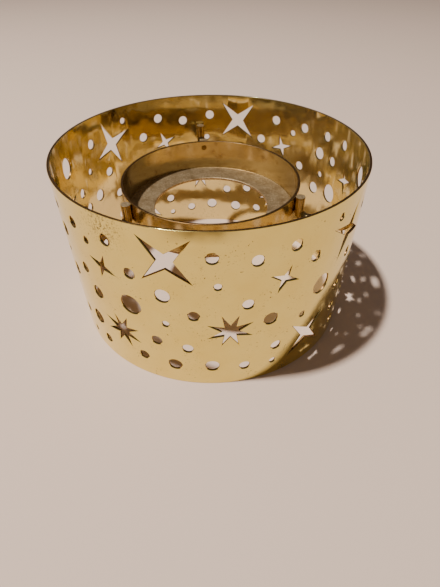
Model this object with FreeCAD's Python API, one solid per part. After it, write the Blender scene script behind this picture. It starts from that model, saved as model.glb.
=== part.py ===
import FreeCAD, Part

import math
import os

from FreeCAD import Vector

# A pierced brass shade ring with a candle-glass cup held inside it on three bent rods.
# Millimetres and degrees. Origin at the centre of the resting face, +Z up, front toward -Y.
# Azimuths run anticlockwise from +X seen from above, so the front is 270.

# ---- outer shell: a thin straight band, open at the top and at the bottom
SHELL_OUTER_DIAMETER = 152.4
SHELL_HEIGHT = 89.7
SHELL_SHEET = 1.2
SHELL_EDGE_ROUND = 0.2

# ---- cup ring: a heavier band that holds the candle glass
CUP_BORE = 88.9
CUP_WALL = 1.35
CUP_HEIGHT = 16.3
CUP_RIM_BELOW_SHELL_RIM = 16.8
CUP_EDGE_ROUND = 0.35

# ---- ledge plate: a flat washer closed against the foot of the cup ring, on which the glass stands
LEDGE_THICKNESS = 1.3
LEDGE_HOLE = 60.8
LEDGE_EDGE_ROUND = 0.3
LEDGE_REGISTER = 0.1
LEDGE_FIT = 0.05

# ---- brackets: round rod bent to a U, one leg up the cup ring, an arm outward and one leg up the shell
BRACKET_AZIMUTHS = (94.8, 213.5, 333.5)
ROD_DIAMETER = 4.8
ROD_BEND_RADIUS = 4.4
ROD_TOP_BELOW_CUP_RIM = 0.5
ARM_AXIS_BELOW_CUP_RIM = 11.3
ROD_END_CHAMFER = 0.25
SADDLE_DEPTH = 0.3
SEAT_GAP = 0.05

# ---- rivets: from inside the cup ring into the upright leg of each rod
RIVET_SHANK = 2.0
RIVET_HEAD = 3.0
RIVET_HEAD_HEIGHT = 0.15
RIVET_BITE = 2.8
RIVET_FIT = 0.03
RIVET_HOLE_SPARE = 0.3

# ---- braze fillets: one strip behind the outer leg of each rod, against the shell
BRAZE_THICKNESS = 0.3
BRAZE_WIDTH = 4.0
BRAZE_END_BELOW_LEG_TOP = 0.8
BRAZE_FIT = 0.02

# ---- piercing punches
PIN_HOLE = 3.4
SMALL_HOLE = 5.2
MEDIUM_HOLE = 6.8
WIDE_HOLE = 8.2
LARGE_HOLE = 10.5
BIG_STAR = dict(points=4, tip_radius=14.0, notch_radius=3.4)
SMALL_STAR = dict(points=4, tip_radius=6.8, notch_radius=1.8)
SUN_STAR = dict(points=8, tip_radius=10.0, notch_radius=3.7)

# The pierced pattern covers half the band and is repeated after half a turn.
# Each place is an azimuth and a depth below the rim, in hundredths of the shell's height.
PATTERN_REPEATS = 2
PIN_PLACES = (
    (47.2, 18.5), (91.6, 29.0), (74.2, 55.0), (122.6, 60.0), (133.8, 8.8), (28.0, 38.0),
    (158.0, 30.5), (112.2, 88.5), (24.0, 66.0), (178.5, 78.0), (34.5, 92.0), (153.5, 72.5),
)
SMALL_PLACES = (
    (15.0, 11.0), (27.2, 12.1), (41.1, 12.9), (56.7, 12.8), (90.0, 13.3), (103.3, 16.4),
    (115.6, 12.9), (124.1, 23.6), (153.8, 15.0), (63.8, 27.5), (41.4, 39.2), (101.2, 41.3),
    (83.8, 47.4), (145.9, 38.0), (167.2, 39.1), (70.1, 68.8), (81.1, 71.3), (112.8, 76.1),
    (141.9, 56.3), (21.3, 25.1), (63.8, 84.4), (101.2, 86.6), (44.8, 88.5), (142.5, 73.5),
    (146.0, 88.2), (10.0, 58.0), (3.0, 89.5), (172.0, 90.0), (30.7, 79.0), (164.0, 52.0),
)
MEDIUM_PLACES = (
    (30.3, 24.6), (74.2, 36.6), (46.2, 51.6), (109.5, 54.2), (76.0, 85.6), (89.5, 84.6),
    (155.0, 49.5), (30.7, 49.5), (159.0, 87.0), (179.0, 56.0),
)
WIDE_PLACES = (
    (41.0, 74.8),
)
LARGE_PLACES = (
    (61.9, 48.1), (130.0, 45.2), (175.0, 17.0), (19.3, 46.1),
)
# The stars also have a turn, the angle of their first point above the horizontal.
BIG_STAR_PLACES = (
    (76.2, 16.3, 45.0), (141.6, 21.0, 67.0), (126.8, 77.8, 45.0), (15.5, 80.5, 67.0),
)
SMALL_STAR_PLACES = (
    (52.6, 29.9, 72.0), (113.0, 30.2, 67.0), (9.7, 30.3, 70.0), (178.0, 37.5, 70.0),
)
SUN_STAR_PLACES = (
    (95.7, 58.2, 22.5), (55.7, 70.6, 22.5), (167.0, 70.0, 22.5),
)

# ---- worked-out places
FULL_TURN = 360.0
UP = Vector(0, 0, 1)
OUTWARD = Vector(1, 0, 0)
shell_outer = SHELL_OUTER_DIAMETER / 2
shell_inner = shell_outer - SHELL_SHEET
cup_inner = CUP_BORE / 2
cup_outer = cup_inner + CUP_WALL
cup_rim_z = SHELL_HEIGHT - CUP_RIM_BELOW_SHELL_RIM
cup_foot_z = cup_rim_z - CUP_HEIGHT
ledge_top_z = cup_foot_z + LEDGE_REGISTER
ledge_foot_z = ledge_top_z - LEDGE_THICKNESS
rod_radius = ROD_DIAMETER / 2
leg_axis = cup_outer + rod_radius - SADDLE_DEPTH
leg_top_z = cup_rim_z - ROD_TOP_BELOW_CUP_RIM
arm_z = cup_rim_z - ARM_AXIS_BELOW_CUP_RIM
bend_start_z = arm_z + ROD_BEND_RADIUS
rivet_z = (leg_top_z + bend_start_z) / 2
braze_outer = shell_inner - SEAT_GAP
outer_leg_axis = braze_outer - BRAZE_THICKNESS - BRAZE_FIT - rod_radius


def tube(outer_radius, inner_radius, foot_z, top_z):
    """An upright tube between two heights."""
    height = top_z - foot_z
    foot = Vector(0, 0, foot_z)
    return Part.makeCylinder(outer_radius, height, foot).cut(Part.makeCylinder(inner_radius, height, foot))


def circular_edges(shape, height):
    """The circular edges of a turned shape that lie at one height."""
    tolerance = 1e-6
    return [edge for edge in shape.Edges
            if isinstance(edge.Curve, Part.Circle) and abs(edge.Curve.Center.z - height) < tolerance]


def rounded_tube(outer_radius, inner_radius, foot_z, top_z, edge_round, heights):
    """A tube eased at the given heights, by less than half its wall."""
    body = tube(outer_radius, inner_radius, foot_z, top_z)
    eased = min(edge_round, 0.45 * (outer_radius - inner_radius))
    return body.makeFillet(eased, [edge for height in heights for edge in circular_edges(body, height)])


def at_azimuth(shape, azimuth):
    """A copy of a shape built along +X, turned about the upright axis."""
    turned = shape.copy()
    turned.rotate(Vector(0, 0, 0), UP, azimuth)
    return turned


def radial_pin(diameter, start_radius, end_radius, height):
    """A round pin along +X at one height."""
    return Part.makeCylinder(diameter / 2, end_radius - start_radius, Vector(start_radius, 0, height), OUTWARD)


def star_punch(star, turn, start_radius, end_radius, height):
    """A prism along +X whose section is a star with straight flanks."""
    corners = 2 * star["points"]
    outline = []
    for corner in range(corners + 1):
        reach = star["notch_radius"] if corner % 2 else star["tip_radius"]
        angle = math.radians(turn + corner * FULL_TURN / corners)
        outline.append(Vector(start_radius, reach * math.cos(angle), height + reach * math.sin(angle)))
    face = Part.Face(Part.makePolygon(outline))
    return face.extrude(Vector(end_radius - start_radius, 0, 0))


def punches():
    """Every punch of the pierced pattern, standing through the band."""
    start_radius = 0.9 * shell_inner
    end_radius = 1.1 * shell_outer
    hole_rows = (
        (PIN_HOLE, PIN_PLACES), (SMALL_HOLE, SMALL_PLACES), (MEDIUM_HOLE, MEDIUM_PLACES),
        (WIDE_HOLE, WIDE_PLACES), (LARGE_HOLE, LARGE_PLACES),
    )
    star_rows = (
        (BIG_STAR, BIG_STAR_PLACES), (SMALL_STAR, SMALL_STAR_PLACES), (SUN_STAR, SUN_STAR_PLACES),
    )
    half = []
    for diameter, places in hole_rows:
        for azimuth, depth in places:
            height = SHELL_HEIGHT * (1 - depth / 100)
            half.append(at_azimuth(radial_pin(diameter, start_radius, end_radius, height), azimuth))
    for star, places in star_rows:
        for azimuth, depth, turn in places:
            height = SHELL_HEIGHT * (1 - depth / 100)
            half.append(at_azimuth(star_punch(star, turn, start_radius, end_radius, height), azimuth))
    return [at_azimuth(punch, repeat * FULL_TURN / PATTERN_REPEATS)
            for repeat in range(PATTERN_REPEATS) for punch in half]


def outer_shell():
    """The pierced band."""
    rims = (0, SHELL_HEIGHT)
    band = rounded_tube(shell_outer, shell_inner, 0, SHELL_HEIGHT, SHELL_EDGE_ROUND, rims)
    return band.cut(punches())


def cup_ring():
    """The cup's band, with a rivet hole at each bracket."""
    band = rounded_tube(cup_outer, cup_inner, cup_foot_z, cup_rim_z, CUP_EDGE_ROUND, (cup_rim_z,))
    hole = radial_pin(RIVET_SHANK + 2 * RIVET_FIT, cup_inner - CUP_WALL, cup_outer + CUP_WALL, rivet_z)
    return band.cut([at_azimuth(hole, azimuth) for azimuth in BRACKET_AZIMUTHS])


def ledge_plate():
    """The washer under the cup ring: its middle stands up a hair to centre the ring's foot, and its hole is eased."""
    flange = tube(cup_outer, LEDGE_HOLE / 2, ledge_foot_z, cup_foot_z)
    register = tube(cup_inner - LEDGE_FIT, LEDGE_HOLE / 2, ledge_foot_z, ledge_top_z)
    plate = flange.fuse(register).removeSplitter()
    hole_edge = [edge for edge in circular_edges(plate, ledge_top_z)
                 if abs(edge.Curve.Radius - LEDGE_HOLE / 2) < 1e-6]
    return plate.makeFillet(min(LEDGE_EDGE_ROUND, 0.45 * LEDGE_THICKNESS), hole_edge)


def leg_and_bend(axis, toward):
    """An upright leg and the quarter bend at its foot, which turns toward +X or -X."""
    half = math.radians(45)
    bend_start = Vector(axis, 0, bend_start_z)
    bend_middle = Vector(axis + toward * ROD_BEND_RADIUS * (1 - math.cos(half)), 0,
                         bend_start_z - ROD_BEND_RADIUS * math.sin(half))
    bend_end = Vector(axis + toward * ROD_BEND_RADIUS, 0, arm_z)
    leg = Part.makeCylinder(rod_radius, leg_top_z - bend_start_z, bend_start, UP)
    leg = leg.makeChamfer(ROD_END_CHAMFER, circular_edges(leg, leg_top_z))
    bend_path = Part.Wire([Part.Arc(bend_start, bend_middle, bend_end).toShape()])
    section = Part.Wire([Part.Circle(bend_start, UP, rod_radius).toShape()])
    return leg, bend_path.makePipeShell([section], True, False)


def bracket_rod():
    """One U-bent rod along +X: saddled on the cup ring, its outer leg standing just clear of the shell."""
    arm_start = leg_axis + ROD_BEND_RADIUS
    arm = radial_pin(ROD_DIAMETER, arm_start, outer_leg_axis - ROD_BEND_RADIUS, arm_z)
    rod = arm.fuse([*leg_and_bend(leg_axis, 1), *leg_and_bend(outer_leg_axis, -1)]).removeSplitter()
    saddle = Part.makeCylinder(cup_outer + SEAT_GAP, leg_top_z, Vector(0, 0, 0))
    rivet_hole = radial_pin(RIVET_SHANK + 2 * RIVET_FIT, cup_inner,
                            cup_outer + RIVET_BITE + RIVET_HOLE_SPARE, rivet_z)
    return rod.cut([saddle, rivet_hole])


def rivet():
    """One domed rivet along +X: head in the cup's bore, shank in the rod."""
    head_radius = RIVET_HEAD / 2
    seat = math.sqrt(cup_inner ** 2 - head_radius ** 2) - RIVET_FIT
    dome_radius = (head_radius ** 2 + RIVET_HEAD_HEIGHT ** 2) / (2 * RIVET_HEAD_HEIGHT)
    dome = Part.makeSphere(dome_radius, Vector(seat + dome_radius - RIVET_HEAD_HEIGHT, 0, rivet_z))
    head = dome.common(Part.makeCylinder(RIVET_HEAD, 2 * RIVET_HEAD_HEIGHT,
                                         Vector(seat - 2 * RIVET_HEAD_HEIGHT, 0, rivet_z), OUTWARD))
    shank = radial_pin(RIVET_SHANK, seat - RIVET_HEAD_HEIGHT / 2, cup_outer + RIVET_BITE, rivet_z)
    return head.fuse(shank).removeSplitter()


def braze_fillet():
    """One strip that fills the space between the outer leg of a rod and the shell."""
    height = leg_top_z - BRAZE_END_BELOW_LEG_TOP - bend_start_z
    foot = Vector(outer_leg_axis, 0, bend_start_z)
    strip = Part.makeBox(shell_outer - outer_leg_axis, BRAZE_WIDTH, height, foot - Vector(0, BRAZE_WIDTH / 2, 0))
    inside_shell = Part.makeCylinder(braze_outer, SHELL_HEIGHT, Vector(0, 0, 0))
    return strip.common(inside_shell).cut(Part.makeCylinder(rod_radius + BRAZE_FIT, height, foot))


def save(shape, name):
    """Write one node, made of a single sound solid."""
    solids = shape.Solids
    if len(solids) != 1 or not solids[0].isValid():
        raise ValueError(name + " is not one sound solid")
    solids[0].exportStep(os.path.join("parts", name + ".step"))


os.makedirs("parts", exist_ok=True)
save(outer_shell(), "outer_shell")
save(cup_ring(), "cup_ring")
save(ledge_plate(), "ledge_plate")
for number, azimuth in enumerate(BRACKET_AZIMUTHS, start=1):
    save(at_azimuth(bracket_rod(), azimuth), "bracket_rod_" + str(number))
    save(at_azimuth(rivet(), azimuth), "bracket_rivet_" + str(number))
    save(at_azimuth(braze_fillet(), azimuth), "braze_fillet_" + str(number))
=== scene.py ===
import math

import bpy
from mathutils import Matrix, Vector


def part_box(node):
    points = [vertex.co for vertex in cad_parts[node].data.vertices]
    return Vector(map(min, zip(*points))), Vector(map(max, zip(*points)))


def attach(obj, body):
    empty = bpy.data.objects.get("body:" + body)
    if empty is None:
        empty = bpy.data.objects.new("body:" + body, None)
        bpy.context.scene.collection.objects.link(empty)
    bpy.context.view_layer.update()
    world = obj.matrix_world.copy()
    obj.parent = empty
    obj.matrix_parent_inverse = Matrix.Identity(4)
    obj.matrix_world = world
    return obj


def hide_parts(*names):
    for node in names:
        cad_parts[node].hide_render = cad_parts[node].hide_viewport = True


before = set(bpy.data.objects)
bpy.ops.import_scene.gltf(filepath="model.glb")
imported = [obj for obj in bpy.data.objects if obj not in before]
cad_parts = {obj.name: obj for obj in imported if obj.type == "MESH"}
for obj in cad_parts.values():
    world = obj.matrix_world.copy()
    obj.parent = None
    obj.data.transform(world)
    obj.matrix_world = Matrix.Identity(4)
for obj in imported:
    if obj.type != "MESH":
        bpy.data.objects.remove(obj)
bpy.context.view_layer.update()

# ---- sizes, in metres; the places come from the frame
MM = 0.001
SHELL_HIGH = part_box("outer_shell")[1]
CUP_LOW, CUP_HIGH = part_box("cup_ring")
LEDGE_LOW, LEDGE_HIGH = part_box("ledge_plate")
SHELL_RADIUS = SHELL_HIGH.x
SHELL_HEIGHT = SHELL_HIGH.z
SHEET = 1.2 * MM
SHEET_EASE = 0.26 * MM
RIM_ROUND = 0.22 * MM
CUP_RADIUS = CUP_HIGH.x
CUP_WALL = 1.35 * MM
CUP_RIM_ROUND = 0.35 * MM
LEDGE_HOLE_RADIUS = 30.4 * MM
LEDGE_EDGE_ROUND = 0.3 * MM
LEDGE_FIT = 0.05 * MM
SOLDER_RISE = 0.4 * MM
ROD_RADIUS = 2.4 * MM
ROD_BEND_RADIUS = 4.4 * MM
ROD_SADDLE = 0.3 * MM
ROD_END_CHAMFER = 0.25 * MM
SEAT_GAP = 0.05 * MM
BRAZE_THICKNESS = 0.3 * MM
BRAZE_WIDTH = 4.0 * MM
BRAZE_END_BELOW_TOP = 0.8 * MM
BRAZE_FIT = 0.02 * MM
ROD_TOP = CUP_HIGH.z - 0.5 * MM
BEND_TOP = CUP_HIGH.z - 11.3 * MM + ROD_BEND_RADIUS
NEAR_LEG = CUP_RADIUS + ROD_RADIUS - ROD_SADDLE
FAR_LEG = SHELL_RADIUS - SHEET - SEAT_GAP - BRAZE_THICKNESS - BRAZE_FIT - ROD_RADIUS
BRACKET_AZIMUTHS = (94.8, 213.5, 333.5)
STRIP_SEAM_AZIMUTH = 37.0

# ---- how finely round things are drawn, and how near counts as the same place
ROUND_CORNERS = 360
NEARLY = 0.01 * MM

# ---- punches: how many points, and the reach of the points and of the notches between them
PIN_HOLE = dict(points=0, tip=1.7 * MM)
SMALL_HOLE = dict(points=0, tip=2.6 * MM)
MEDIUM_HOLE = dict(points=0, tip=3.4 * MM)
WIDE_HOLE = dict(points=0, tip=4.1 * MM)
LARGE_HOLE = dict(points=0, tip=5.25 * MM)
BIG_STAR = dict(points=4, tip=14.0 * MM, notch=3.4 * MM)
SMALL_STAR = dict(points=4, tip=6.8 * MM, notch=1.8 * MM)
SUN_STAR = dict(points=8, tip=10.0 * MM, notch=3.7 * MM)

# The pattern fills half the band and is punched again half a turn on. A place is an azimuth in degrees,
# a depth below the rim in hundredths of the band's height and, for a star, the turn of its first point.
PUNCHED = (
    (PIN_HOLE, (
        (47.2, 18.5), (91.6, 29.0), (74.2, 55.0), (122.6, 60.0), (133.8, 8.8), (28.0, 38.0),
        (158.0, 30.5), (112.2, 88.5), (24.0, 66.0), (178.5, 78.0), (34.5, 92.0), (153.5, 72.5))),
    (SMALL_HOLE, (
        (15.0, 11.0), (27.2, 12.1), (41.1, 12.9), (56.7, 12.8), (90.0, 13.3), (103.3, 16.4),
        (115.6, 12.9), (124.1, 23.6), (153.8, 15.0), (63.8, 27.5), (41.4, 39.2), (101.2, 41.3),
        (83.8, 47.4), (145.9, 38.0), (167.2, 39.1), (70.1, 68.8), (81.1, 71.3), (112.8, 76.1),
        (141.9, 56.3), (21.3, 25.1), (63.8, 84.4), (101.2, 86.6), (44.8, 88.5), (142.5, 73.5),
        (146.0, 88.2), (10.0, 58.0), (3.0, 89.5), (172.0, 90.0), (30.7, 79.0), (164.0, 52.0))),
    (MEDIUM_HOLE, (
        (30.3, 24.6), (74.2, 36.6), (46.2, 51.6), (109.5, 54.2), (76.0, 85.6), (89.5, 84.6),
        (155.0, 49.5), (30.7, 49.5), (159.0, 87.0), (179.0, 56.0))),
    (WIDE_HOLE, ((41.0, 74.8),)),
    (LARGE_HOLE, ((61.9, 48.1), (130.0, 45.2), (175.0, 17.0), (19.3, 46.1))),
    (BIG_STAR, ((76.2, 16.3, 45.0), (141.6, 21.0, 67.0), (126.8, 77.8, 45.0), (15.5, 80.5, 67.0))),
    (SMALL_STAR, ((52.6, 29.9, 72.0), (113.0, 30.2, 67.0), (9.7, 30.3, 70.0), (178.0, 37.5, 70.0))),
    (SUN_STAR, ((95.7, 58.2, 22.5), (55.7, 70.6, 22.5), (167.0, 70.0, 22.5))),
)
PATTERN_REPEATS = 2

# ---- brass colours
SHEET_BRASS = "#E9D67A"
SHEET_BRASS_WARM = "#EFDF86"
INNER_BRASS = "#E2D18F"
INNER_BRASS_WARM = "#EADA9A"
TARNISH_BROWN = "#4A2F14"
NOISE_ROUGHNESS = 0.6

# ---- lamp, room light and camera
LAMP_SPOT = (-0.66, -0.13, 2.0)
LAMP_WIDTH = 0.1
LAMP_WATTS = 56
ROOM_COLOUR = "#E9DFE0"
ROOM_STRENGTH = 0.14
FLOOR_COLOUR = "#ECCDB6"
FLOOR_WIDTH = 6
CAMERA_SPOT = (0, -2.5457 * SHELL_RADIUS, SHELL_HEIGHT + 1.0395 * SHELL_RADIUS)
CAMERA_DOWN = 42.60
CAMERA_TURN = -1.41
CAMERA_LENS = 24.74


# ---- small tools of the bench
def deselect_all():
    """Nothing selected, so that the next operator acts only on what it should."""
    bpy.ops.object.select_all(action="DESELECT")


def pick(piece):
    """The piece alone selected and active."""
    deselect_all()
    piece.select_set(True)
    bpy.context.view_layer.objects.active = piece
    return piece


def named(name):
    """Names the piece just added, and fixes its place into its mesh."""
    piece = bpy.context.object
    piece.name = piece.data.name = name
    fix_place(piece)
    return piece


def fix_place(piece):
    """Puts the object's place, turn and size into its mesh."""
    pick(piece)
    bpy.ops.object.transform_apply(location=True, rotation=True, scale=True)


def select_in(piece, kind, test):
    """Enters edit mode with only the vertices, edges or polygons selected that pass the test."""
    pick(piece)
    mesh = piece.data
    kinds = ("vertices", "edges", "polygons")
    bpy.context.tool_settings.mesh_select_mode = [kind == one for one in kinds]
    for part in (*mesh.vertices, *mesh.edges, *mesh.polygons):
        part.select = False
    for part in getattr(mesh, kind):
        if kind == "vertices":
            part.select = test(part.co, part.index)
        elif kind == "edges":
            start, end = [mesh.vertices[corner].co for corner in part.vertices]
            part.select = test((start + end) / 2, end - start)
        else:
            part.select = test(part.center, part.normal)
    bpy.ops.object.mode_set(mode="EDIT")


def leave_edit():
    """Back to object mode."""
    bpy.ops.object.mode_set(mode="OBJECT")


def use_modifier(piece, kind, **settings):
    """Adds one modifier and applies it at once."""
    pick(piece)
    modifier = piece.modifiers.new(kind.lower(), kind)
    for key, value in settings.items():
        setattr(modifier, key, value)
    bpy.ops.object.modifier_apply(modifier=modifier.name)


def cut_with(piece, cutter):
    """Takes the cutter's volume out of the piece, and throws the cutter away."""
    use_modifier(piece, "BOOLEAN", object=cutter, operation="DIFFERENCE", solver="EXACT")
    bpy.data.objects.remove(cutter)


def outward(piece):
    """Merges doubled corners and points every face outward."""
    pick(piece)
    bpy.ops.object.mode_set(mode="EDIT")
    bpy.ops.mesh.select_all(action="SELECT")
    bpy.ops.mesh.remove_doubles(threshold=0.002 * MM)
    bpy.ops.mesh.normals_make_consistent(inside=False)
    leave_edit()


def finish_piece(piece, stands_for, slot, *materials, sides=None):
    """Smooth shading, finishes, and its place on the frame. Sides says which finish a face takes."""
    pick(piece)
    bpy.ops.object.shade_smooth_by_angle(angle=math.radians(32))
    piece.data.materials.clear()
    for material in materials:
        piece.data.materials.append(material)
    use_modifier(piece, "WEIGHTED_NORMAL", mode="FACE_AREA", weight=90, keep_sharp=True)
    if sides:
        for face in piece.data.polygons:
            face.material_index = sides(face.center, face.normal)
    if stands_for:
        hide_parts(*stands_for)
    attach(piece, "root")
    return piece


def turned(azimuth):
    """A turn about the upright axis, from +X."""
    return Matrix.Rotation(math.radians(azimuth), 4, "Z")


# ---- materials
def linear(hex_colour):
    """An sRGB hex colour as the linear RGBA that shaders take."""
    channels = [int(hex_colour[i:i + 2], 16) / 255 for i in (1, 3, 5)]
    return [c / 12.92 if c <= 0.04045 else ((c + 0.055) / 1.055) ** 2.4 for c in channels] + [1.0]


def add(tree, kind, inputs=None, out=0, **settings):
    """Adds one node with its settings, fills its inputs with values or links, and returns one output."""
    made = tree.nodes.new(kind)
    for key, value in settings.items():
        setattr(made, key, value)
    for socket, value in (inputs or {}).items():
        if isinstance(value, bpy.types.NodeSocket):
            tree.links.new(value, made.inputs[socket])
        else:
            made.inputs[socket].default_value = value
    return made.outputs[out] if made.outputs else None


def new_material(name):
    """An empty material: its tree, and the object's own coordinates."""
    material = bpy.data.materials.new(name)
    material.use_nodes = True
    tree = material.node_tree
    tree.nodes.clear()
    return material, tree, add(tree, "ShaderNodeTexCoord", out="Object")


def near(tree, place, middle, reach, edge):
    """A soft-edged patch round one spot: 1 inside, 0 beyond its reach."""
    away = add(tree, "ShaderNodeVectorMath", {0: place, 1: middle}, "Value", operation="DISTANCE")
    return add(tree, "ShaderNodeMapRange",
               {"Value": away, "From Min": edge * reach, "From Max": reach, "To Min": 1.0, "To Max": 0.0})


def speckle(tree, place, millimetres, detail=2.0, stretch=(1, 1, 1)):
    """Irregular noise whose grains are as wide as the given size, and drawn out by the given stretch."""
    scale = [1 / (one * millimetres * MM) for one in stretch]
    scaled = add(tree, "ShaderNodeMapping", {"Vector": place, "Scale": scale})
    return add(tree, "ShaderNodeTexNoise",
               {"Vector": scaled, "Scale": 1.0, "Detail": detail, "Roughness": NOISE_ROUGHNESS})


def mottled(tree, pattern, low, high, plain, changed):
    """The plain colour where a pattern is under one level, and another colour above a higher level."""
    amount = add(tree, "ShaderNodeMapRange", {"Value": pattern, "From Min": low, "From Max": high})
    return add(tree, "ShaderNodeMix", {0: amount, 6: plain, 7: changed}, 2, data_type="RGBA")


def on_band(azimuth, below_rim):
    """A spot on the outside of the band, some millimetres below its rim."""
    turn = math.radians(azimuth)
    return (SHELL_RADIUS * math.cos(turn), SHELL_RADIUS * math.sin(turn), SHELL_HEIGHT - below_rim * MM)


def finish_metal(tree, colour, roughness, bumps, metallic=1.0):
    """Joins a metal's colour, gloss and relief. Bumps pairs each pattern with its depth in millimetres."""
    relief = {}
    for pattern, depth in bumps:
        bump = add(tree, "ShaderNodeBump", {"Height": pattern, "Distance": depth * MM, **relief})
        relief = {"Normal": bump}
    shine = add(tree, "ShaderNodeBsdfPrincipled",
                {"Base Color": colour, "Metallic": metallic, "Roughness": roughness, **relief})
    add(tree, "ShaderNodeOutputMaterial", {"Surface": shine})


def inner_sheet_brass():
    """Inside of the sheet: a mirror too, but paler and hazier, because no cloth reaches it. Rolling left
    slow waves that bend what it reflects."""
    material, tree, place = new_material("inner brass sheet")
    bloom = speckle(tree, place, 12.0, 4.0)
    grains = speckle(tree, place, 1.2, 3.0)
    waves = speckle(tree, place, 20.0, 2.0, (1, 1, 1.4))
    metal = mottled(tree, bloom, 0.3, 0.7, linear(INNER_BRASS), linear(INNER_BRASS_WARM))
    flecks = add(tree, "ShaderNodeMapRange", {"Value": grains, "From Min": 0.55, "From Max": 0.7})
    where = add(tree, "ShaderNodeMapRange", {"Value": bloom, "From Min": 0.5, "From Max": 0.65})
    stains = add(tree, "ShaderNodeMath", {0: flecks, 1: where}, operation="MULTIPLY")
    colour = mottled(tree, stains, 0.0, 2.0, metal, linear(TARNISH_BROWN))
    rough = add(tree, "ShaderNodeMapRange",
                {"Value": bloom, "From Min": 0.3, "From Max": 0.7, "To Min": 0.07, "To Max": 0.16})
    finish_metal(tree, colour, rough, ((waves, 0.7), (grains, 0.004)), 0.94)
    return material


def band_tarnish(tree, place, grains):
    """Where the outside of the band is brown: stray specks, two crowds of them, a smear below the rim."""
    patches = speckle(tree, place, 9.0, 1.0)
    scattered = add(tree, "ShaderNodeMapRange", {"Value": patches, "From Min": 0.48, "From Max": 0.6})
    left_crowd = near(tree, place, on_band(236.5, 5.5), 12.0 * MM, 0.2)
    low_crowd = near(tree, place, on_band(297.0, 88.0), 6.0 * MM, 0.2)
    front = near(tree, place, on_band(267.0, 0.0), 17.0 * MM, 0.2)
    height = add(tree, "ShaderNodeSeparateXYZ", {"Vector": place}, "Z")
    just_below = add(tree, "ShaderNodeMapRange", {"Value": height, "From Min": SHELL_HEIGHT - 6.0 * MM,
                                                  "From Max": SHELL_HEIGHT - 1.0 * MM})
    rim_smear = add(tree, "ShaderNodeMath", {0: front, 1: just_below}, operation="MULTIPLY")
    tarnish = 0.0
    for pattern, low, high, where in ((grains, 0.62, 0.68, scattered), (grains, 0.50, 0.62, left_crowd),
                                      (grains, 0.45, 0.60, low_crowd), (patches, 0.0, 0.60, rim_smear)):
        flecks = add(tree, "ShaderNodeMapRange", {"Value": pattern, "From Min": low, "From Max": high})
        here = add(tree, "ShaderNodeMath", {0: flecks, 1: where}, operation="MULTIPLY")
        tarnish = add(tree, "ShaderNodeMath", {0: tarnish, 1: here}, operation="MAXIMUM")
    return tarnish


def polished_brass():
    """Polished brass sheet: a yellow mirror. Handling leaves a faint bloom, rubbing leaves fine lines
    round the band, and specks of brown tarnish gather below the rim."""
    material, tree, place = new_material("polished brass sheet")
    bloom = speckle(tree, place, 14.0, 4.0)
    rub = speckle(tree, place, 0.5, 2.0, (60, 60, 1))
    waves = speckle(tree, place, 22.0, 2.0, (1, 1, 1.6))
    tarnish = band_tarnish(tree, place, speckle(tree, place, 0.9, 3.0))
    metal = mottled(tree, bloom, 0.3, 0.7, linear(SHEET_BRASS), linear(SHEET_BRASS_WARM))
    colour = mottled(tree, tarnish, 0.0, 4 / 3, metal, linear(TARNISH_BROWN))
    haze = add(tree, "ShaderNodeMapRange",
               {"Value": bloom, "From Min": 0.3, "From Max": 0.7, "To Min": 0.05, "To Max": 0.13})
    rubbed = add(tree, "ShaderNodeMath", {0: rub, 1: 0.05, 2: haze}, operation="MULTIPLY_ADD")
    rough = add(tree, "ShaderNodeMath", {0: tarnish, 1: 0.3, 2: rubbed}, operation="MULTIPLY_ADD")
    finish_metal(tree, colour, rough, ((waves, 0.5), (rub, 0.003)))
    return material


def cut_edge_brass_painted_shade():
    """Cut edge of the sheet, on the rims and hole walls: left as the punch made it, so hardly glossy, and
    brown partly as an unpolished edge and partly as painted shade that darkens the rim lines and hole
    walls.
    """
    material, tree, place = new_material("cut brass edge with painted shade")
    grains = speckle(tree, place, 0.6)
    # Dark to mid brown: partly the edge's own dull colour, partly painted shade on the rims and hole
    # walls.
    colour = mottled(tree, grains, 0.35, 0.65, linear("#5E3F26"), linear("#9A7648"))
    finish_metal(tree, colour, 0.38, ((grains, 0.03),))
    return material


def band_brass():
    """Heavier rolled brass: polished less than the sheet, with fine lines round it and a few stains."""
    material, tree, place = new_material("rolled brass band")
    lines = speckle(tree, place, 0.45, 3.0, (50, 50, 1))
    stains = speckle(tree, place, 6.0, 4.0)
    metal = mottled(tree, lines, 0.0, 1.0, linear("#BEA771"), linear("#D3BF8E"))
    colour = mottled(tree, stains, 0.58, 0.8, metal, linear("#8A6230"))
    rough = add(tree, "ShaderNodeMapRange",
                {"Value": stains, "From Min": 0.35, "From Max": 0.75, "To Min": 0.13, "To Max": 0.3})
    finish_metal(tree, colour, rough, ((lines, 0.008), (speckle(tree, place, 0.8), 0.008)))
    return material


def raw_brass():
    """Raw brass, under the glass and on the sawn rod ends: never polished, grey-brown, and gritty."""
    material, tree, place = new_material("raw brass")
    grit = speckle(tree, place, 0.75, 3.0)
    light = mottled(tree, grit, 0.35, 0.65, linear("#AC8C62"), linear("#DEC49A"))
    colour = mottled(tree, speckle(tree, place, 8.0, 4.0), 0.45, 0.75, light, linear("#94744A"))
    finish_metal(tree, colour, 0.45, ((grit, 0.12),), 0.85)
    return material


def rod_brass():
    """Drawn brass rod: duller than the sheet, with fine lines along it and patches of dark grime."""
    material, tree, place = new_material("drawn brass rod")
    grain = speckle(tree, place, 0.35, 2.0, (1, 1, 25))
    dirt = speckle(tree, place, 2.5, 3.0)
    metal = mottled(tree, grain, 0.0, 1.0, linear("#8E7248"), linear("#BBA470"))
    colour = mottled(tree, dirt, 0.52, 0.72, metal, linear("#6A451C"))
    rough = add(tree, "ShaderNodeMapRange",
                {"Value": dirt, "From Min": 0.3, "From Max": 0.7, "To Min": 0.12, "To Max": 0.28})
    finish_metal(tree, colour, rough, ((grain, 0.01),))
    return material


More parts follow.
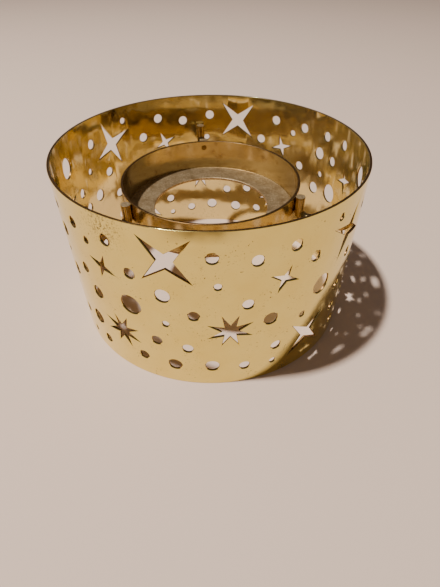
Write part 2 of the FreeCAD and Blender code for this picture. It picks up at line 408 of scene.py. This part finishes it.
def rivet_brass():
    """Peened rivet: brass gone dark brown, because no polish reaches it."""
    material, tree, place = new_material("tarnished rivet brass")
    dents = speckle(tree, place, 0.8)
    colour = mottled(tree, dents, 0.0, 1.0, linear("#5A4020"), linear("#A07C42"))
    finish_metal(tree, colour, 0.4, ((dents, 0.05),))
    return material


def braze_metal():
    """Brazing alloy: never polished, rippled where it froze, with brown flux stains."""
    material, tree, place = new_material("brazing alloy")
    ripples = speckle(tree, place, 1.0)
    colour = mottled(tree, ripples, 0.4, 0.7, linear("#B89A66"), linear("#6E4F2A"))
    finish_metal(tree, colour, 0.5, ((ripples, 0.06),))
    return material


# ---- the pierced band
def flank_reach(punch):
    """How far a punch's sides lie from its middle: a hole's radius, or the distance to a star's flank."""
    if not punch["points"]:
        return punch["tip"]
    spread = math.pi / punch["points"]
    tip, notch = punch["tip"], punch["notch"]
    flank = math.sqrt(tip ** 2 + notch ** 2 - 2 * tip * notch * math.cos(spread))
    return tip * notch * math.sin(spread) / flank


def make_punch(punch):
    """One punch across the sheet, from y = 0 to y = SHEET, flared where the hole's edges are eased."""
    clear = 0.3 * MM
    flare = 1 + (SHEET_EASE + clear) / flank_reach(punch)
    corners = 2 * punch["points"] or 40
    deselect_all()
    bpy.ops.mesh.primitive_circle_add(vertices=corners, radius=punch["tip"], fill_type="NGON",
                                      location=(0, -clear, 0), rotation=(math.radians(90), 0, 0))
    cutter = named("punch")
    if punch["points"]:
        select_in(cutter, "vertices", lambda spot, index: index % 2)
        bpy.ops.transform.resize(value=(punch["notch"] / punch["tip"],) * 3)
        leave_edit()
    select_in(cutter, "polygons", lambda middle, normal: True)
    bpy.ops.transform.resize(value=(flare, 1, flare))
    for step, size in ((clear + SHEET_EASE, 1 / flare), (SHEET - 2 * SHEET_EASE, 1),
                       (clear + SHEET_EASE, flare)):
        bpy.ops.mesh.extrude_region_move(TRANSFORM_OT_translate={"value": (0, step, 0)})
        bpy.ops.transform.resize(value=(size, 1, size))
    leave_edit()
    outward(cutter)
    return cutter


def punch_block(length, middle_azimuth):
    """Every punch of the pattern, standing along the flat strip."""
    copies = []
    for punch, places in PUNCHED:
        model = make_punch(punch)
        for azimuth, depth, *turn in places:
            for repeat in range(PATTERN_REPEATS):
                around = (azimuth + repeat * 360 / PATTERN_REPEATS - middle_azimuth + 180) % 360 - 180
                spot = Vector((length * around / 360, 0, SHELL_HEIGHT * (1 - depth / 100)))
                lean = Matrix.Rotation(-math.radians(turn[0] if turn else 0), 4, "Y")
                copy = model.copy()
                copy.data = model.data.copy()
                copy.data.transform(Matrix.Translation(spot) @ lean)
                bpy.context.collection.objects.link(copy)
                copies.append(copy)
        bpy.data.objects.remove(model)
    deselect_all()
    for copy in copies:
        copy.select_set(True)
    bpy.context.view_layer.objects.active = copies[0]
    bpy.ops.object.join()
    return bpy.context.object


def band_side(middle, normal):
    """Of a band: 0 for its outside, 1 for a cut edge and 2 for its inside."""
    outward_part = normal.xy.dot(middle.xy.normalized())
    return 1 if abs(outward_part) < 0.6 else 0 if outward_part > 0 else 2


def outer_shell(outside, edge, inside):
    """Flat strip, punched, eased, rolled into a band and closed."""
    length = 2 * math.pi * SHELL_RADIUS
    deselect_all()
    bpy.ops.mesh.primitive_cube_add(size=1, location=(0, SHEET / 2, SHELL_HEIGHT / 2),
                                    scale=(length, SHEET, SHELL_HEIGHT))
    strip = named("pierced_band")
    select_in(strip, "edges", lambda middle, run: abs(run.x) > 0.9 * length)
    bpy.ops.mesh.bevel(offset=RIM_ROUND, segments=3, affect="EDGES")
    leave_edit()
    for _ in range(3):
        select_in(strip, "edges", lambda middle, run: abs(run.x) > 0.9 * run.length and run.length > 0)
        bpy.ops.mesh.subdivide(number_cuts=8)
        leave_edit()
    cut_with(strip, punch_block(length, STRIP_SEAM_AZIMUTH + 180))
    select_in(strip, "polygons", lambda middle, normal: abs(middle.x) > length / 2 - NEARLY
              and abs(normal.x) > 0.9)
    bpy.ops.mesh.delete(type="FACE")
    leave_edit()
    use_modifier(strip, "SIMPLE_DEFORM", deform_method="BEND", deform_axis="Z", angle=2 * math.pi)
    strip.data.transform(turned(STRIP_SEAM_AZIMUTH - 90) @ Matrix.Translation((0, -SHELL_RADIUS, 0)))
    outward(strip)
    return finish_piece(strip, ["outer_shell"], "shell_brass", outside, edge, inside, sides=band_side)


# ---- the cup
def cup_ring(metal, edge):
    """A short rolled band with a rounded rim."""
    height = CUP_HIGH.z - CUP_LOW.z
    deselect_all()
    bpy.ops.mesh.primitive_cylinder_add(vertices=ROUND_CORNERS, radius=CUP_RADIUS, depth=height,
                                        end_fill_type="NOTHING", location=(0, 0, CUP_LOW.z + height / 2))
    band = named("glass_cup_ring")
    use_modifier(band, "SOLIDIFY", thickness=CUP_WALL, offset=-1, use_even_offset=True)
    select_in(band, "edges", lambda middle, run: abs(middle.z - CUP_HIGH.z) < NEARLY
              and abs(run.x * middle.x + run.y * middle.y) < 0.2 * run.length * middle.xy.length)
    bpy.ops.mesh.bevel(offset=CUP_RIM_ROUND, segments=4, affect="EDGES")
    leave_edit()
    outward(band)
    return finish_piece(band, ["cup_ring"], "cup_brass", metal, edge, metal, sides=band_side)


def extruded_ring(name, section):
    """A ring extruded from corner to corner of its section, each a radius and a height, and closed."""
    radius, height = section[0]
    deselect_all()
    bpy.ops.mesh.primitive_circle_add(vertices=ROUND_CORNERS, radius=radius, location=(0, 0, height))
    ring = named(name)
    select_in(ring, "edges", lambda middle, run: True)
    for next_radius, next_height in (*section[1:], section[0]):
        bpy.ops.mesh.extrude_edges_move(TRANSFORM_OT_translate={"value": (0, 0, next_height - height)})
        bpy.ops.transform.resize(value=(next_radius / radius, next_radius / radius, 1))
        radius, height = next_radius, next_height
    leave_edit()
    outward(ring)
    return ring


def ledge_plate(material):
    """A washer under the cup ring, its middle a little up inside the ring, and its hole's edge eased."""
    step = CUP_RADIUS - CUP_WALL - LEDGE_FIT
    plate = extruded_ring("ledge_washer", (
        (LEDGE_HOLE_RADIUS, LEDGE_HIGH.z), (step, LEDGE_HIGH.z), (step, CUP_LOW.z),
        (CUP_RADIUS, CUP_LOW.z), (CUP_RADIUS, LEDGE_LOW.z), (LEDGE_HOLE_RADIUS, LEDGE_LOW.z)))
    select_in(plate, "edges", lambda middle, run: abs(middle.z - LEDGE_HIGH.z) < NEARLY
              and abs(middle.xy.length - LEDGE_HOLE_RADIUS) < 5 * NEARLY and abs(run.z) < NEARLY)
    bpy.ops.mesh.bevel(offset=LEDGE_EDGE_ROUND, segments=3, affect="EDGES")
    leave_edit()
    outward(plate)
    return finish_piece(plate, ["ledge_plate"], "ledge_brass", material)


def solder_line(material):
    """A thin line of solder in the corner between the cup ring and the ledge."""
    foot = LEDGE_HIGH.z
    wall = CUP_RADIUS - CUP_WALL
    line = extruded_ring("solder_line", (
        (wall, foot + SOLDER_RISE), (wall - 0.3 * SOLDER_RISE, foot + 0.3 * SOLDER_RISE),
        (wall - SOLDER_RISE, foot), (wall, foot)))
    return finish_piece(line, [], "braze", material)


# ---- the brackets
def rod_side(middle, normal):
    """Of a rod: 1 for its sawn ends, and 0 elsewhere."""
    return int(normal.z > 0.9 and middle.z > ROD_TOP - 10 * NEARLY)


def bracket_rod(number, azimuth, material, end_material):
    """A round rod: down beside the cup ring, bent outward, and bent up again beside the band."""
    deselect_all()
    bpy.ops.mesh.primitive_circle_add(vertices=48, radius=ROD_RADIUS, fill_type="NGON",
                                      location=(NEAR_LEG, 0, ROD_TOP))
    rod = named("bent_rod_" + str(number))
    select_in(rod, "polygons", lambda middle, normal: True)
    arm_length = FAR_LEG - NEAR_LEG - 2 * ROD_BEND_RADIUS
    for straight, bend_centre in (((0, 0, BEND_TOP - ROD_TOP), (NEAR_LEG + ROD_BEND_RADIUS, 0, BEND_TOP)),
                                  ((arm_length, 0, 0), (FAR_LEG - ROD_BEND_RADIUS, 0, BEND_TOP))):
        bpy.ops.mesh.extrude_region_move(TRANSFORM_OT_translate={"value": straight})
        bpy.ops.mesh.spin(steps=12, angle=math.radians(90), center=bend_centre, axis=(0, 1, 0))
    bpy.ops.mesh.extrude_region_move(TRANSFORM_OT_translate={"value": (0, 0, ROD_TOP - BEND_TOP)})
    leave_edit()
    outward(rod)
    select_in(rod, "edges", lambda middle, run: abs(middle.z - ROD_TOP) < NEARLY)
    bpy.ops.mesh.bevel(offset=ROD_END_CHAMFER, segments=2, affect="EDGES")
    leave_edit()
    deselect_all()
    bpy.ops.mesh.primitive_cylinder_add(vertices=ROUND_CORNERS, radius=CUP_RADIUS + SEAT_GAP,
                                        depth=ROD_TOP, location=(0, 0, ROD_TOP / 2 + CUP_LOW.z))
    cut_with(rod, named("saddle_cutter"))
    rod.data.transform(turned(azimuth))
    return finish_piece(rod, ["bracket_rod_" + str(number)], "rod_brass", material, end_material,
                        sides=rod_side)


def braze_strip(number, azimuth, material):
    """Braze that fills the space between a rod's outer leg and the band."""
    height = ROD_TOP - BRAZE_END_BELOW_TOP - BEND_TOP
    wall = math.sqrt((SHELL_RADIUS - SHEET - SEAT_GAP) ** 2 - (BRAZE_WIDTH / 2) ** 2)
    deselect_all()
    bpy.ops.mesh.primitive_cube_add(size=1, location=((FAR_LEG + wall) / 2, 0, BEND_TOP + height / 2),
                                    scale=(wall - FAR_LEG, BRAZE_WIDTH, height))
    strip = named("braze_strip_" + str(number))
    deselect_all()
    bpy.ops.mesh.primitive_cylinder_add(vertices=96, radius=ROD_RADIUS + BRAZE_FIT, depth=2 * height,
                                        location=(FAR_LEG, 0, BEND_TOP + height / 2))
    cut_with(strip, named("leg_cutter"))
    outward(strip)
    strip.data.transform(turned(azimuth))
    return finish_piece(strip, ["braze_fillet_" + str(number)], "braze", material)


# ---- build
# Finish for the cut edges of the shell and cup ring: its dark brown is partly painted shade.
edge_finish_and_painted_shade = cut_edge_brass_painted_shade()
raw_finish = raw_brass()
rod_finish = rod_brass()
rivet_finish = rivet_brass()
braze_finish = braze_metal()
outer_shell(polished_brass(), edge_finish_and_painted_shade, inner_sheet_brass())
cup_ring(band_brass(), edge_finish_and_painted_shade)
ledge_plate(raw_finish)
solder_line(braze_finish)
for number, azimuth in enumerate(BRACKET_AZIMUTHS, start=1):
    bracket_rod(number, azimuth, rod_finish, raw_finish)
    braze_strip(number, azimuth, braze_finish)
    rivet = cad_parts["bracket_rivet_" + str(number)]
    rivet.data.materials.clear()
    rivet.data.materials.append(rivet_finish)


# ---- floor, lights and camera
def pale_floor():
    """A plain pale floor."""
    material, tree, place = new_material("plain pale floor")
    shine = add(tree, "ShaderNodeBsdfPrincipled", {"Base Color": linear(FLOOR_COLOUR), "Roughness": 0.9})
    add(tree, "ShaderNodeOutputMaterial", {"Surface": shine})
    deselect_all()
    bpy.ops.mesh.primitive_plane_add(size=FLOOR_WIDTH, location=(0, 0, 0))
    floor = named("floor")
    floor.data.materials.append(material)


def lamp():
    """One soft square lamp high on the left, aimed at the middle of the object."""
    source = bpy.data.lights.new("lamp", "AREA")
    source.size = LAMP_WIDTH
    source.energy = LAMP_WATTS
    light = bpy.data.objects.new("lamp", source)
    light.location = LAMP_SPOT
    aim = Vector((0, 0, SHELL_HEIGHT / 2)) - light.location
    light.rotation_euler = aim.to_track_quat("-Z", "Y").to_euler()
    bpy.context.collection.objects.link(light)


def room_light():
    """Soft light from all round."""
    world = bpy.data.worlds.new("studio")
    world.use_nodes = True
    background = world.node_tree.nodes["Background"].inputs
    background["Color"].default_value = linear(ROOM_COLOUR)
    background["Strength"].default_value = ROOM_STRENGTH
    bpy.context.scene.world = world


def camera():
    """Close above the front, looking down over the rim."""
    eye = bpy.data.cameras.new("camera")
    eye.lens = CAMERA_LENS
    eye.sensor_width = 36
    eye.clip_start = 0.01
    view = bpy.data.objects.new("camera", eye)
    view.location = CAMERA_SPOT
    view.rotation_euler = (math.radians(90 - CAMERA_DOWN), 0, math.radians(CAMERA_TURN))
    bpy.context.collection.objects.link(view)
    bpy.context.scene.camera = view


pale_floor()
room_light()
lamp()
camera()
